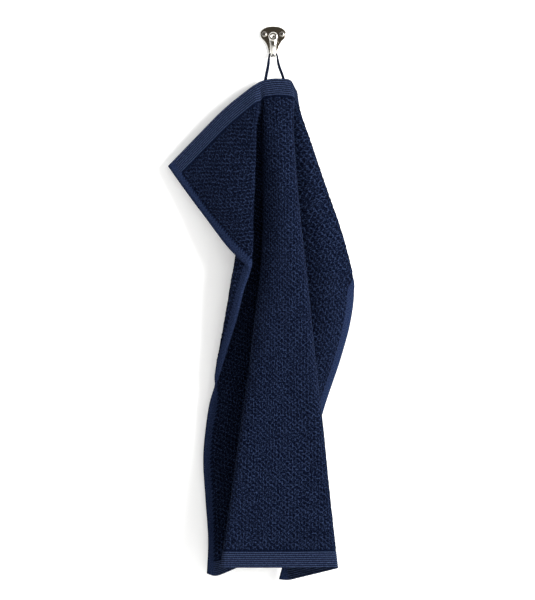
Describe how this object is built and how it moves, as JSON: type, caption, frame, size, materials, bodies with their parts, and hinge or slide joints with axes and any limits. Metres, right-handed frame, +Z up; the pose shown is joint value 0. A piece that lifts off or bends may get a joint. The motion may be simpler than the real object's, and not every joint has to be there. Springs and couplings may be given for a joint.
{
  "type": "hand towel on wall hook",
  "caption": "Terry hand towel with ribbed end bands and side hems, draped in folds from its loop on a small metal wall hook.",
  "frame": {"origin": "middle of the hook plate's flat back face, between the screws", "axes": "+Y into the wall, +Z up, -Y into the room"},
  "size_m": [0.2637, 0.0899, 0.7869],
  "materials": {
    "terry": "navy cotton terry with a rice-grain surface and flat ribbed end bands",
    "tape": "navy woven cotton tape",
    "nickel": "bright nickel plate on a casting",
    "screw_nickel": "nickel-plated domed screw head"
  },
  "bodies": {
    "root": {"towel": "terry", "hang_loop": "tape", "hook": "nickel", "screw_left": "screw_nickel", "screw_right": "screw_nickel"}
  },
  "joints": []
}
